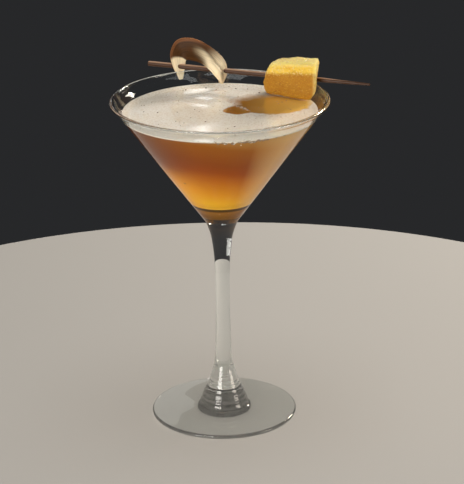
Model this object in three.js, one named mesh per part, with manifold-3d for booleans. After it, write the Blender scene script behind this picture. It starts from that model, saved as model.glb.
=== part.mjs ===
// A rum daiquiri served up: a stemmed cocktail glass filled with a cloudy amber drink under a thin pale foam.
// A wooden pick lies across the back of the rim. It carries a curled slice of fruit peel and a cube of
// candied ginger. Millimetres, +Z up. The origin is the middle of the foot's underside, where the glass stands.
import * as THREE from "three";
import { mergeVertices } from "three/addons/utils/BufferGeometryUtils.js";
import Module from "manifold-3d";

const wasm = await Module();
wasm.setup();

// Driving dimensions of the glass
const GLASS_HEIGHT = 177;
const RIM_RADIUS = 57.5;
const RIM_BEAD_RADIUS = 0.95;
const WALL_THICKNESS = 1.3;
const BOWL_HALF_ANGLE = THREE.MathUtils.degToRad(36);
const BOWL_FLOOR_Z = 114.8;
const FLOOR_DISH = { radius: 14.6, topZ: 122.5, ledge: 0.8 };
const BOWL_BASE_Z = 110;
const FOOT_RADIUS = 39.2;
const FOOT_EDGE_RADIUS = 1.1;
const STEM_RADIUS = 3.7;
const STEM_WAIST_Z = 68;
const STEM_TOP = { radius: 6.1, z: 102.5 };
const FOOT_BELL = { radius: 12.9, z: 6.2 };

// Driving dimensions of the drink and its foam
const FOAM_BELOW_RIM = 7.8;
const FOAM_THICKNESS = 1.2;
const FOAM_MENISCUS = { width: 3.2, height: 1.2, thickness: 0.8 };

// Driving dimensions of the garnish, laid out along the pick from its place nearest to the glass's axis
const PICK_LENGTH = 127;
const PICK_RADIUS = 1.4;
const PICK_TIP_RADIUS = 0.6;
const PICK_TAPER = 32;
const PICK_FROM_AXIS = 44.8;
const PICK_HEADING = THREE.MathUtils.degToRad(-21.7);
const PICK_BLUNT_END_X = -59.4;
const GINGER = { length: 33, depth: 14.5, height: 19.4, middleX: 26.3, middleY: -1.6 };
const GINGER_TURN = THREE.MathUtils.degToRad(-8);
const GINGER_CUT = { squareness: 7, crags: 0.45, drawIn: 3.6, slant: 0.45, rise: 1.5 };
const PEEL = { thickness: 2, tipThickness: 1.1, edgeSlant: 0.03 };
const PEEL_RIDGE = { height: 3, from: 0.44, to: 0.7, width: 0.12 };

// Gaps that keep neighbouring solids apart
const GAP = 0.3;
const REST_GAP = 0.2;
const HOLE_GAP = 0.25;
const ROUND_SEGMENTS = 64;
const PICK_SIDES = 14;

const rimTopZ = GLASS_HEIGHT;
const foamTopZ = rimTopZ - FOAM_BELOW_RIM;
const pickAxisZ = rimTopZ + REST_GAP + PICK_RADIUS;

// The bowl's walls are straight in section: the outer radius at a height, and the inner one.
const outerWallRadius = (z) => RIM_RADIUS - 0.1 - Math.tan(BOWL_HALF_ANGLE) * (rimTopZ - z);
const innerWallRadius = (z) => outerWallRadius(z) - WALL_THICKNESS / Math.cos(BOWL_HALF_ANGLE);

// The bowl's floor is a round dish. A narrow ledge around the dish leads to the inner wall.
const dishEndAngle = -0.46 * Math.PI;
const dishDepth = FLOOR_DISH.topZ - BOWL_FLOOR_Z;

// Turns an outline in the radius and height plane about the glass's axis, with +Z up.
function turned(path, curveSteps, segments = ROUND_SEGMENTS) {
  return new THREE.LatheGeometry(path.getPoints(curveSteps), segments).rotateX(Math.PI / 2);
}

function namedMesh(name, geometry, material) {
  const mesh = new THREE.Mesh(geometry, material);
  mesh.name = name;
  return mesh;
}

// A closed geometry as a solid that can be joined and cut, and back again.
function solidOf(geometry) {
  const bare = geometry.clone();
  bare.deleteAttribute("normal");
  bare.deleteAttribute("uv");
  const merged = mergeVertices(bare, 1e-4);
  return new wasm.Manifold(
    new wasm.Mesh({
      numProp: 3,
      vertProperties: new Float32Array(merged.attributes.position.array),
      triVerts: new Uint32Array(merged.index.array),
    }),
  );
}

function geometryOf(solid) {
  const { vertProperties, triVerts } = solid.getMesh();
  const geometry = new THREE.BufferGeometry();
  geometry.setAttribute("position", new THREE.BufferAttribute(vertProperties, 3));
  geometry.setIndex(new THREE.BufferAttribute(triVerts, 1));
  geometry.computeVertexNormals();
  return geometry;
}

// Materials
const clearGlass = new THREE.MeshStandardMaterial({
  color: 0xe8f0ee,
  roughness: 0.02,
  metalness: 0,
  transparent: true,
  opacity: 0.3,
});
const cloudyDrink = new THREE.MeshStandardMaterial({ color: 0xd08a35, roughness: 0.2, metalness: 0 });
const paleFoam = new THREE.MeshStandardMaterial({ color: 0xe6dac8, roughness: 0.45, metalness: 0 });
const brownWood = new THREE.MeshStandardMaterial({ color: 0x7a5335, roughness: 0.6, metalness: 0 });
const candiedGinger = new THREE.MeshStandardMaterial({ color: 0xe8bc3e, roughness: 0.5, metalness: 0 });
const paleRind = new THREE.MeshStandardMaterial({ color: 0xe6c796, roughness: 0.55, metalness: 0 });

// The glass: foot, stem and conical bowl, one piece of glass.
function glassGeometry() {
  const footEdgeAt = FOOT_RADIUS - FOOT_EDGE_RADIUS;
  const outline = new THREE.Path();
  outline.moveTo(0, 0);
  outline.lineTo(footEdgeAt, 0);
  outline.absarc(footEdgeAt, FOOT_EDGE_RADIUS, FOOT_EDGE_RADIUS, -Math.PI / 2, Math.PI / 2);
  outline.splineThru([
    new THREE.Vector2(0.66 * FOOT_RADIUS, 2 * FOOT_EDGE_RADIUS + 0.6),
    new THREE.Vector2(FOOT_BELL.radius + 2.6, FOOT_BELL.z - 2.2),
    new THREE.Vector2(FOOT_BELL.radius, FOOT_BELL.z),
    new THREE.Vector2(0.86 * FOOT_BELL.radius, 11.2),
    new THREE.Vector2(0.62 * FOOT_BELL.radius, 18.3),
    new THREE.Vector2(1.3 * STEM_RADIUS, 30),
    new THREE.Vector2(1.07 * STEM_RADIUS, 48),
    new THREE.Vector2(STEM_RADIUS, STEM_WAIST_Z),
    new THREE.Vector2(1.1 * STEM_RADIUS, 85),
    new THREE.Vector2(1.32 * STEM_RADIUS, 95),
    new THREE.Vector2(STEM_TOP.radius, STEM_TOP.z),
    new THREE.Vector2(outerWallRadius(BOWL_BASE_Z), BOWL_BASE_Z),
  ]);
  // The wall runs straight up into the bead of the rim, and down again inside it.
  const beadZ = rimTopZ - RIM_BEAD_RADIUS;
  const beadMiddle = RIM_RADIUS - RIM_BEAD_RADIUS;
  outline.lineTo(outerWallRadius(beadZ - 2), beadZ - 2);
  outline.absarc(beadMiddle, beadZ, RIM_BEAD_RADIUS, -0.35, Math.PI);
  outline.lineTo(innerWallRadius(beadZ - 2.5), beadZ - 2.5);
  const ledgeTopZ = FLOOR_DISH.topZ + FLOOR_DISH.ledge;
  outline.lineTo(innerWallRadius(ledgeTopZ), ledgeTopZ);
  outline.absellipse(0, FLOOR_DISH.topZ, FLOOR_DISH.radius, dishDepth, 0, dishEndAngle, true);
  outline.lineTo(0, BOWL_FLOOR_Z);
  return turned(outline, 3);
}

// The drink and the foam reach almost to the wall, where both climb it by the meniscus.
const liquidEdgeRadius = (z) => innerWallRadius(z) - 1.5 * GAP;
const liquidFlatRadius = liquidEdgeRadius(foamTopZ) - FOAM_MENISCUS.width;
const meniscusBendRadius = liquidFlatRadius + 0.6 * FOAM_MENISCUS.width;

// The drink: it fills the bowl up to the foam.
function drinkGeometry() {
  const topZ = foamTopZ - FOAM_THICKNESS - GAP;
  const edgeZ = foamTopZ + FOAM_MENISCUS.height - FOAM_MENISCUS.thickness - GAP;
  const ledgeTopZ = FLOOR_DISH.topZ + FLOOR_DISH.ledge + 1.5 * GAP;
  const outline = new THREE.Path();
  outline.moveTo(0, BOWL_FLOOR_Z + GAP);
  outline.lineTo(0.5, BOWL_FLOOR_Z + GAP);
  outline.absellipse(0, FLOOR_DISH.topZ, FLOOR_DISH.radius - GAP, dishDepth - GAP, dishEndAngle, 0);
  outline.lineTo(liquidEdgeRadius(ledgeTopZ), ledgeTopZ);
  outline.lineTo(liquidEdgeRadius(edgeZ), edgeZ);
  outline.quadraticCurveTo(meniscusBendRadius, topZ, liquidFlatRadius, topZ);
  outline.lineTo(0, topZ);
  return turned(outline, 3);
}

// The foam: a thin layer on the drink.
function foamGeometry() {
  const bottomZ = foamTopZ - FOAM_THICKNESS;
  const edgeTopZ = foamTopZ + FOAM_MENISCUS.height;
  const edgeBottomZ = edgeTopZ - FOAM_MENISCUS.thickness;
  const outline = new THREE.Path();
  outline.moveTo(0, bottomZ);
  outline.lineTo(liquidFlatRadius, bottomZ);
  outline.quadraticCurveTo(meniscusBendRadius, bottomZ, liquidEdgeRadius(edgeBottomZ), edgeBottomZ);
  outline.lineTo(liquidEdgeRadius(edgeTopZ), edgeTopZ);
  outline.quadraticCurveTo(meniscusBendRadius, foamTopZ, liquidFlatRadius, foamTopZ);
  outline.lineTo(0, foamTopZ);
  return turned(outline, 3);
}

// A round bar along +X through the pick's axis, from one X to another, with a radius at each end.
function barAlongPick(fromX, toX, fromRadius, toRadius) {
  return new THREE.CylinderGeometry(toRadius, fromRadius, toX - fromX, PICK_SIDES)
    .rotateZ(-Math.PI / 2)
    .translate((fromX + toX) / 2, 0, pickAxisZ);
}

const pickHole = solidOf(barAlongPick(-100, 100, PICK_RADIUS + HOLE_GAP, PICK_RADIUS + HOLE_GAP));

// The pick: a round wooden stick with one blunt end and one drawn out to a fine, rounded tip.
function pickGeometry() {
  const outline = new THREE.Path();
  outline.moveTo(0, 0);
  outline.lineTo(PICK_RADIUS - 0.3, 0);
  outline.lineTo(PICK_RADIUS, 0.3);
  outline.lineTo(PICK_RADIUS, PICK_LENGTH - PICK_TAPER);
  outline.lineTo(PICK_TIP_RADIUS, PICK_LENGTH - PICK_TIP_RADIUS);
  outline.absarc(0, PICK_LENGTH - PICK_TIP_RADIUS, PICK_TIP_RADIUS, 0, Math.PI / 2);
  return new THREE.LatheGeometry(outline.getPoints(3), PICK_SIDES)
    .rotateZ(-Math.PI / 2)
    .translate(PICK_BLUNT_END_X, 0, pickAxisZ);
}

// The room that the bowl leaves for the garnish: inside the wall below the rim, and free above it.
function roomInBowl() {
  const overRimZ = rimTopZ + GAP;
  const outline = new THREE.Path();
  outline.moveTo(0, foamTopZ + GAP);
  outline.lineTo(innerWallRadius(foamTopZ) - 2 * FOAM_MENISCUS.width, foamTopZ + GAP);
  const wallFootZ = foamTopZ + FOAM_MENISCUS.height + GAP;
  outline.lineTo(innerWallRadius(wallFootZ) - 2 * GAP, wallFootZ);
  outline.lineTo(innerWallRadius(overRimZ) - 2 * GAP, overRimZ);
  outline.lineTo(2 * RIM_RADIUS, overRimZ);
  outline.lineTo(2 * RIM_RADIUS, overRimZ + RIM_RADIUS);
  outline.lineTo(0, overRimZ + RIM_RADIUS);
  return solidOf(turned(outline, 3).translate(0, -PICK_FROM_AXIS, 0));
}

// Repeatable roughness between -1 and 1 that depends on the place alone.
function roughness(x, y, z, scale) {
  const wave = Math.sin(x * 12.9898 * scale + y * 78.233 * scale + z * 37.719 * scale) * 43758.5453;
  return 2 * (wave - Math.floor(wave)) - 1;
}

// The ginger: a rounded cube with sugar crags, threaded on the pick and trimmed to sit inside the bowl.
function gingerGeometry() {
  const steps = [14, 8, 10];
  const half = new THREE.Vector3(GINGER.length / 2, GINGER.depth / 2, GINGER.height / 2);
  const middle = new THREE.Vector3(GINGER.middleX, GINGER.middleY, foamTopZ + GAP + GINGER.height / 2);
  const block = new THREE.BoxGeometry(2, 2, 2, ...steps);
  const places = block.attributes.position;
  const point = new THREE.Vector3();
  for (let i = 0; i < places.count; i++) {
    point.fromBufferAttribute(places, i);
    const [x, y, z] = point.toArray().map((value) => Math.round(value * 1e4) / 1e4);
    const reach = [x, y, z].reduce((sum, value) => sum + Math.abs(value) ** GINGER_CUT.squareness, 0);
    const round = reach ** (-1 / GINGER_CUT.squareness);
    const swell = 1 + 0.035 * Math.sin(3.1 * x + 1.3) + 0.03 * Math.sin(2.3 * z - 0.7 * y);
    point.set(x, y, z).multiplyScalar(round * swell).multiply(half);
    // The left end draws in towards the top and the bottom. The right end leans out and is cut on a slant.
    const left = GINGER_CUT.drawIn * Math.abs(z + 0.35) ** 1.2;
    const right = z - GINGER_CUT.slant * (point.y + half.y);
    point.x += Math.abs(x) * (x < 0 ? left : right);
    // The top rises to the right.
    point.z += GINGER_CUT.rise * Math.max(z, 0) * x;
    const crag = GINGER_CUT.crags * roughness(x, y, z, 1);
    point.addScaledVector(new THREE.Vector3(x, y, z).normalize(), crag);
    point.applyAxisAngle(new THREE.Vector3(0, 0, 1), GINGER_TURN).add(middle);
    places.setXYZ(i, point.x, point.y, point.z);
  }
  return geometryOf(solidOf(block).intersect(roomInBowl()).subtract(pickHole));
}

// A smooth line through places given along the pick, behind it and above it.
function lineByPick(places) {
  const points = places.map(([along, behind, above]) => new THREE.Vector3(along, behind, pickAxisZ + above));
  return new THREE.CatmullRomCurve3(points, false, "catmullrom");
}

// The peel's outer edge, which carries the skin, from its left tip to its right one.
const peelOuterEdge = lineByPick([
  [-41.2, -0.8, -7.2],
  [-44.2, -1.8, 0.2],
  [-46.0, -0.8, 7.4],
  [-43.6, 1.6, 13.6],
  [-37.2, 3.0, 15.5],
  [-29.0, 2.9, 14.1],
  [-21.5, 2.5, 10.2],
  [-15.8, 2.0, 4.8],
  [-14.2, 0.8, -0.9],
  [-16.0, -0.7, -6.8],
]);

// The peel's inner edge: it passes behind the pick on the left and comes out in front of it on the right.
const peelInnerEdge = lineByPick([
  [-40.1, -0.1, -7.0],
  [-38.8, 1.4, -1.2],
  [-38.8, 2.9, 2.6],
  [-36.6, 2.8, 3.7],
  [-33.2, 1.5, 3.6],
  [-29.0, -0.6, 3.4],
  [-24.4, -3.4, 2.4],
  [-20.4, -5.0, 0.4],
  [-18.0, -4.4, -2.4],
  [-16.7, -1.6, -6.6],
]);

// A place on the peel at a share of its length, and a share of its width from the outer edge.
// A ridge stands out along the right leg, steep on its outer side.
function peelPlace(share, across) {
  const place = peelOuterEdge.getPoint(share).lerp(peelInnerEdge.getPoint(share), across);
  const { smoothstep, lerp } = THREE.MathUtils;
  const ridgeAt = lerp(PEEL_RIDGE.from, PEEL_RIDGE.to, smoothstep(share, 0.52, 0.76));
  const width = PEEL_RIDGE.width * (across > ridgeAt ? 2 : 1);
  const leg = smoothstep(share, 0.45, 0.68) * (1 - smoothstep(share, 0.8, 1));
  const ridge = PEEL_RIDGE.height * leg * Math.exp(-(((across - ridgeAt) / width) ** 2));
  return place.add(new THREE.Vector3(0.6 * ridge, -0.8 * ridge, 0));
}

// The peel: a crescent-shaped slice of fruit, pointed at both ends, that stands over the pick.
function peelGeometry() {
  const along = 34;
  const across = 9;
  const positions = [];
  for (const face of [1, -1]) {
    for (let i = 0; i <= along; i++) {
      const share = i / along;
      const belly = Math.sin(Math.PI * share) ** 0.8;
      const halfThickness = 0.5 * (PEEL.tipThickness + (PEEL.thickness - PEEL.tipThickness) * belly);
      for (let j = 0; j <= across; j++) {
        const slant = face > 0 ? 0 : PEEL.edgeSlant;
        const v = slant + (1 - 2 * slant) * (j / across);
        const lengthwise = peelPlace(Math.min(share + 0.01, 1), v);
        lengthwise.sub(peelPlace(Math.max(share - 0.01, 0), v));
        const crosswise = peelPlace(share, 1).sub(peelPlace(share, 0)).multiplyScalar(0.2);
        crosswise.add(peelPlace(share, Math.min(v + 0.05, 1)));
        crosswise.sub(peelPlace(share, Math.max(v - 0.05, 0)));
        const backward = lengthwise.cross(crosswise).normalize();
        const point = peelPlace(share, v).addScaledVector(backward, face * halfThickness);
        positions.push(...point.toArray());
      }
    }
  }
  const row = across + 1;
  const sheet = row * (along + 1);
  const at = (face, i, j) => face * sheet + i * row + j;
  const triangles = [];
  const quad = (a, b, c, d) => triangles.push(a, b, c, a, c, d);
  for (let i = 0; i < along; i++) {
    for (let j = 0; j < across; j++) {
      quad(at(0, i, j), at(0, i + 1, j), at(0, i + 1, j + 1), at(0, i, j + 1));
      quad(at(1, i, j), at(1, i, j + 1), at(1, i + 1, j + 1), at(1, i + 1, j));
    }
    quad(at(0, i, 0), at(1, i, 0), at(1, i + 1, 0), at(0, i + 1, 0));
    quad(at(0, i, across), at(0, i + 1, across), at(1, i + 1, across), at(1, i, across));
  }
  for (let j = 0; j < across; j++) {
    quad(at(0, 0, j), at(0, 0, j + 1), at(1, 0, j + 1), at(1, 0, j));
    quad(at(0, along, j), at(1, along, j), at(1, along, j + 1), at(0, along, j + 1));
  }
  const strip = new THREE.BufferGeometry();
  strip.setAttribute("position", new THREE.Float32BufferAttribute(positions, 3));
  strip.setIndex(triangles);
  return geometryOf(solidOf(strip).subtract(pickHole));
}

// The garnish group's +X runs along the pick and its +Y away from the glass's axis.
const garnish = new THREE.Group();
garnish.rotation.z = PICK_HEADING;
garnish.position.set(-PICK_FROM_AXIS * Math.sin(PICK_HEADING), PICK_FROM_AXIS * Math.cos(PICK_HEADING), 0);
garnish.add(
  namedMesh("pick", pickGeometry(), brownWood),
  namedMesh("candied_ginger", gingerGeometry(), candiedGinger),
  namedMesh("peel_curl", peelGeometry(), paleRind),
);

const cocktail = new THREE.Group();
cocktail.add(
  namedMesh("glass", glassGeometry(), clearGlass),
  namedMesh("drink", drinkGeometry(), cloudyDrink),
  namedMesh("foam", foamGeometry(), paleFoam),
  garnish,
);

export default cocktail;
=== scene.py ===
import math
import random

import bpy
from mathutils import Euler, Matrix, Vector, noise


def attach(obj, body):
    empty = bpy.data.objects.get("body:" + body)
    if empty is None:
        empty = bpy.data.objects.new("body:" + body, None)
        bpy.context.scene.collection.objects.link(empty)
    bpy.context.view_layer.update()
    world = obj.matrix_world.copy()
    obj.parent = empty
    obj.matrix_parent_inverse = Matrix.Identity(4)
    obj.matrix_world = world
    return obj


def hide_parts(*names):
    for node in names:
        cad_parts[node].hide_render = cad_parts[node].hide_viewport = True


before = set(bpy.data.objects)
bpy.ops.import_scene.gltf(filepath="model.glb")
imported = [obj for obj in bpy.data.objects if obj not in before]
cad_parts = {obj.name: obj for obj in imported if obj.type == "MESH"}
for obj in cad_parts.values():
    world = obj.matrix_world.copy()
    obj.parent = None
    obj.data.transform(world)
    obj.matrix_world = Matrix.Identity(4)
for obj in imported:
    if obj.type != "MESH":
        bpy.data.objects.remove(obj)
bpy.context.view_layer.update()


# The glass. A stemmed cocktail glass of clear soda-lime glass: a blown conical bowl with a dished floor, a
# stem drawn out of it and a pressed foot, fused into one piece. Its rim is fire-polished, which leaves a slight
# bead. Sizes are in millimetres, and MM makes them metres.
MM = 0.001
RIM_TOP = 177.0
RIM_RADIUS = 57.5
RIM_BEAD = 0.95
BEAD_STANDS_OUT = 0.1
WALL = 1.3
BOWL_SLOPE = math.radians(36)
BOWL_FLOOR = 114.8
DISH_TOP = 122.5
DISH_RADIUS = 14.6
DISH_LEDGE = 0.8
BOWL_BASE = 110.0
FOOT_RADIUS = 39.2
FOOT_EDGE = 1.1
STEM_RADIUS = 3.7
BELL_RADIUS = 12.9
BELL_HEIGHT = 6.2
RING_RELIEF = 0.14
RING_PITCH = 2.6
RING_COUNT = 4
ROUND_STEPS = 144
DISH_STEPS = 14
STEM_FAIRING = 1.5
OUTER_BEAD_FAIRING = 2.0
INNER_BEAD_FAIRING = 2.5
OVER_DRINK_FROM = BOWL_FLOOR - 4
OVER_DRINK_TO = RIM_TOP - 8
WATER_MARK = 12.0


def linear(hex_colour):
    """An sRGB hex colour as the linear RGBA that a shader takes."""
    shares = [int(hex_colour[i:i + 2], 16) / 255 for i in (1, 3, 5)]
    return tuple(c / 12.92 if c <= 0.04045 else ((c + 0.055) / 1.055) ** 2.4 for c in shares) + (1.0,)


def add_node(material, kind, settings=None, inputs=None):
    """Adds a node to a material. Settings are its properties. Inputs are values, or sockets that feed them."""
    new = material.node_tree.nodes.new(kind)
    for name, value in (settings or {}).items():
        setattr(new, name, value)
    for name, value in (inputs or {}).items():
        if isinstance(value, bpy.types.NodeSocket):
            material.node_tree.links.new(value, new.inputs[name])
        else:
            new.inputs[name].default_value = value
    return new


def new_material(name):
    """A material with an empty set of nodes."""
    material = bpy.data.materials.new(name)
    material.use_nodes = True
    material.node_tree.nodes.clear()
    return material


def outer_wall(height):
    """Outer radius of the bowl's straight wall at a height, in mm."""
    return RIM_RADIUS - BEAD_STANDS_OUT - math.tan(BOWL_SLOPE) * (RIM_TOP - height)


def inner_wall(height):
    """Inner radius of the bowl's wall at a height, in mm."""
    return outer_wall(height) - WALL / math.cos(BOWL_SLOPE)


def arc(radius_at, height_at, radius, start, end, steps):
    """Points on an arc of an outline, from one angle to another in degrees."""
    angles = [math.radians(start + (end - start) * i / steps) for i in range(steps + 1)]
    return [(radius_at + radius * math.cos(a), height_at + radius * math.sin(a)) for a in angles]


def straight(start, end, steps):
    """Points on a straight stretch of an outline."""
    return [tuple(a + (b - a) * i / steps for a, b in zip(start, end)) for i in range(steps + 1)]


def smooth_line(points, steps):
    """A smooth line through points, with a number of steps from each point to the next."""
    line = []
    for i in range(len(points) - 1):
        p0, p1, p2, p3 = points[max(i - 1, 0)], points[i], points[i + 1], points[min(i + 2, len(points) - 1)]
        for step in range(steps):
            t = step / steps
            place = []
            for a, b, c, d in zip(p0, p1, p2, p3):
                v0, v1 = (c - a) / 2, (d - b) / 2
                cubic, square = 2 * b - 2 * c + v0 + v1, 3 * c - 3 * b - 2 * v0 - v1
                place.append(cubic * t**3 + square * t**2 + v0 * t + b)
            line.append(tuple(place))
    return line + [tuple(points[-1])]


def turn_on_lathe(name, outline, segments):
    """A solid turned about Z from an outline of radius and height in mm, closed on the axis at both ends."""
    bpy.ops.object.select_all(action="DESELECT")
    bpy.ops.mesh.primitive_circle_add(vertices=segments, radius=outline[0][0] * MM)
    piece = bpy.context.object
    piece.name = piece.data.name = name
    bpy.ops.object.mode_set(mode="EDIT")
    bpy.ops.mesh.select_all(action="SELECT")
    bpy.ops.transform.translate(value=(0, 0, outline[0][1] * MM))
    for (radius, height), (next_radius, next_height) in zip(outline, outline[1:]):
        lift = (next_height - height) * MM
        bpy.ops.mesh.extrude_region_move(TRANSFORM_OT_translate={"value": (0, 0, lift)})
        wider = next_radius / radius
        bpy.ops.transform.resize(value=(wider, wider, 1), center_override=(0, 0, 0))
    bpy.ops.mesh.merge(type="CENTER")
    bpy.ops.mesh.select_all(action="DESELECT")
    bpy.ops.mesh.select_non_manifold()
    bpy.ops.mesh.merge(type="CENTER")
    bpy.ops.mesh.select_all(action="SELECT")
    bpy.ops.mesh.normals_make_consistent(inside=False)
    bpy.ops.object.mode_set(mode="OBJECT")
    bpy.ops.object.shade_smooth_by_angle(angle=math.radians(40))
    return piece


def dished_floor(inset):
    """Points up the dished floor, from its middle over a narrow ledge to the wall, set in from the glass."""
    depth = DISH_TOP - BOWL_FLOOR - inset
    angles = [math.radians(-88 + 88 * i / DISH_STEPS) for i in range(DISH_STEPS + 1)]
    dish = [((DISH_RADIUS - inset) * math.cos(a), DISH_TOP + depth * math.sin(a)) for a in angles]
    return dish + [(inner_wall(DISH_TOP + DISH_LEDGE) - inset, DISH_TOP + DISH_LEDGE)]


foot_edge_at = FOOT_RADIUS - FOOT_EDGE
glass_outline = straight((0.4, 0.0), (foot_edge_at - 0.3, 0.0), 6)
glass_outline += arc(foot_edge_at, FOOT_EDGE, FOOT_EDGE, -90, 88, 12)
glass_outline += smooth_line(
    [
        (foot_edge_at, 2 * FOOT_EDGE),
        (0.66 * FOOT_RADIUS, 2 * FOOT_EDGE + 0.6),
        (BELL_RADIUS + 2.6, BELL_HEIGHT - 2.2),
        (BELL_RADIUS, BELL_HEIGHT),
        (0.86 * BELL_RADIUS, 11.2),
        (0.62 * BELL_RADIUS, 18.3),
        (1.3 * STEM_RADIUS, 30.0),
        (1.07 * STEM_RADIUS, 48.0),
        (STEM_RADIUS, 68.0),
        (1.1 * STEM_RADIUS, 85.0),
        (1.32 * STEM_RADIUS, 95.0),
        (6.1, 102.5),
        (outer_wall(BOWL_BASE), BOWL_BASE),
    ],
    10,
)
for i, (radius, height) in enumerate(glass_outline):
    if BELL_HEIGHT < height < BELL_HEIGHT + RING_COUNT * RING_PITCH:
        ring = RING_RELIEF * math.sin(2 * math.pi * (height - BELL_HEIGHT) / RING_PITCH)
        glass_outline[i] = (radius + ring, height)
bead_height = RIM_TOP - RIM_BEAD
wall_from, wall_to = BOWL_BASE + STEM_FAIRING, bead_height - OUTER_BEAD_FAIRING
glass_outline += straight((outer_wall(wall_from), wall_from), (outer_wall(wall_to), wall_to), 12)
glass_outline += arc(RIM_RADIUS - RIM_BEAD, bead_height, RIM_BEAD, -20, 180, 14)
dish = dished_floor(0)
inside_from = bead_height - INNER_BEAD_FAIRING
glass_outline += straight((inner_wall(inside_from), inside_from), dish[-1], 12)
glass_outline += dish[-2::-1]
cocktail_glass = turn_on_lathe("cocktail_glass", glass_outline, ROUND_STEPS)

# Clear glass bends and mirrors light and takes almost none of it. Faint water marks dull its polish in patches
# of about 12 mm. Light that falls through it on the drink is let straight past. In front of the drink its
# mirror is toned down, so that the pale floor below does not veil the colour.
polished_glass = new_material("clear_fire_polished_glass")
glass_over_drink = new_material("clear_glass_over_drink")
for material, mirror in ((polished_glass, 1.0), (glass_over_drink, 0.15)):
    place = add_node(material, "ShaderNodeTexCoord")
    marks = add_node(
        material,
        "ShaderNodeTexNoise",
        inputs={"Vector": place.outputs["Object"], "Scale": 1000 / WATER_MARK, "Detail": 4.0, "Roughness": 0.6},
    )
    polish = add_node(
        material,
        "ShaderNodeMapRange",
        inputs={"Value": marks.outputs["Fac"], "From Min": 0.45, "From Max": 0.8, "To Max": 0.012},
    )
    body = add_node(
        material,
        "ShaderNodeBsdfPrincipled",
        inputs={
            "Base Color": linear("#FBFEFD"),
            "Roughness": polish.outputs["Result"],
            "IOR": 1.5,
            "Specular Tint": (mirror, mirror, mirror, 1.0),
            "Transmission Weight": 1.0,
        },
    )
    ray = add_node(material, "ShaderNodeLightPath")
    lets_past = add_node(
        material,
        "ShaderNodeMath",
        {"operation": "MAXIMUM"},
        {0: ray.outputs["Is Shadow Ray"], 1: ray.outputs["Is Diffuse Ray"]},
    )
    past = add_node(material, "ShaderNodeBsdfTransparent", inputs={"Color": linear("#FCFDFD")})
    surface = add_node(
        material,
        "ShaderNodeMixShader",
        inputs={0: lets_past.outputs[0], 1: body.outputs[0], 2: past.outputs[0]},
    )
    add_node(material, "ShaderNodeOutputMaterial", inputs={"Surface": surface.outputs[0]})
    cocktail_glass.data.materials.append(material)
for face in cocktail_glass.data.polygons:
    x, y, z = face.center / MM
    outside = math.hypot(x, y) > inner_wall(z) + WALL / 2
    face.material_index = int(outside and OVER_DRINK_FROM < z < OVER_DRINK_TO)
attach(cocktail_glass, "root")
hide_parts("glass")


# The drink. Rum, lime juice and sugar shaken over ice and strained: a cloudy amber liquid that fills the bowl.
# It wets the glass, so the piece reaches just into the wall.
FOAM_TOP = RIM_TOP - 7.8
FOAM_DEPTH = 1.2
MENISCUS_WIDTH = 3.2
MENISCUS_HEIGHT = 1.2
MENISCUS_FOAM = 0.8
INTO_WALL = 0.25


def meniscus(flat_height, climb):
    """Points down from the wall, where a liquid climbs it, to the flat of its surface."""
    edge_height = flat_height + climb
    edge = inner_wall(edge_height)
    flat = inner_wall(FOAM_TOP) - MENISCUS_WIDTH
    shares = [i / 8 for i in range(1, 9)]
    return [(edge + INTO_WALL, edge_height)] + [
        (edge + (flat - edge) * t, flat_height + climb * (1 - t) ** 2) for t in shares
    ]


drink_top = FOAM_TOP - FOAM_DEPTH
drink_climb = MENISCUS_HEIGHT - MENISCUS_FOAM + FOAM_DEPTH
drink_outline = dished_floor(-INTO_WALL)
drink_rim = meniscus(drink_top, drink_climb)
drink_outline += straight(drink_outline[-1], drink_rim[0], 16)[1:]
drink_outline += drink_rim[1:]
drink_outline += straight((drink_rim[-1][0] - 1, drink_top), (0.5, drink_top), 4)
amber_drink = turn_on_lathe("amber_drink", drink_outline, ROUND_STEPS)

# Fine pulp makes the liquid milky, so light spreads inside it. It is deepest in colour below the foam and
# clears to gold towards the bottom, where the bowl is narrow; that gold is partly painted light shining through
# the narrow bowl. It is painted paler on the right as light, darker high up on the left as shade and golden low
# down there as glow. In the dish it is painted brown as shade, below a painted dark ring that stands for a line
# the thick glass refracts, and it is clotted with foam at its upper edge.
DARK_RING_AT = DISH_TOP - 1.6
SWIRL = 35.0
SWIRL_DRIFT = 6.0
SHADES_LEAN = 0.16
SHADES_FROM = 120.0
SHADES_TO = 174.0
CLOT = 2.8
CLOTS_AT = 9.0
CLOTS_SPREAD = 26.0
cloudy_drink = new_material("cloudy_amber_liquid")
place = add_node(cloudy_drink, "ShaderNodeTexCoord")
axes = add_node(cloudy_drink, "ShaderNodeSeparateXYZ", inputs={"Vector": place.outputs["Object"]})
swirl = add_node(
    cloudy_drink,
    "ShaderNodeTexNoise",
    inputs={"Vector": place.outputs["Object"], "Scale": 1000 / SWIRL, "Detail": 3.0, "Roughness": 0.5},
)
drift = add_node(
    cloudy_drink,
    "ShaderNodeMath",
    {"operation": "MULTIPLY_ADD"},
    {0: swirl.outputs["Fac"], 1: SWIRL_DRIFT * MM, 2: axes.outputs["Z"]},
)
tilt = add_node(
    cloudy_drink,
    "ShaderNodeMath",
    {"operation": "MULTIPLY_ADD"},
    {0: axes.outputs["X"], 1: SHADES_LEAN, 2: drift.outputs[0]},
)
height = add_node(
    cloudy_drink,
    "ShaderNodeMapRange",
    inputs={"Value": tilt.outputs[0], "From Min": SHADES_FROM * MM, "From Max": SHADES_TO * MM},
)
# The gold towards the bottom of this gradient is partly painted light.
shades = add_node(cloudy_drink, "ShaderNodeValToRGB", inputs={"Fac": height.outputs["Result"]})
stops = shades.color_ramp.elements
stops[0].color = linear("#F0C050")
stops[1].color = linear("#B07C3C")
for position, colour in (
    (0.14, "#F0B428"),
    (0.28, "#E0941A"),
    (0.44, "#C06C10"),
    (0.58, "#9A480A"),
    (0.68, "#8E450A"),
    (0.90, "#9C5A10"),
):
    stop = stops.new(position)
    stop.color = linear(colour)
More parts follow.
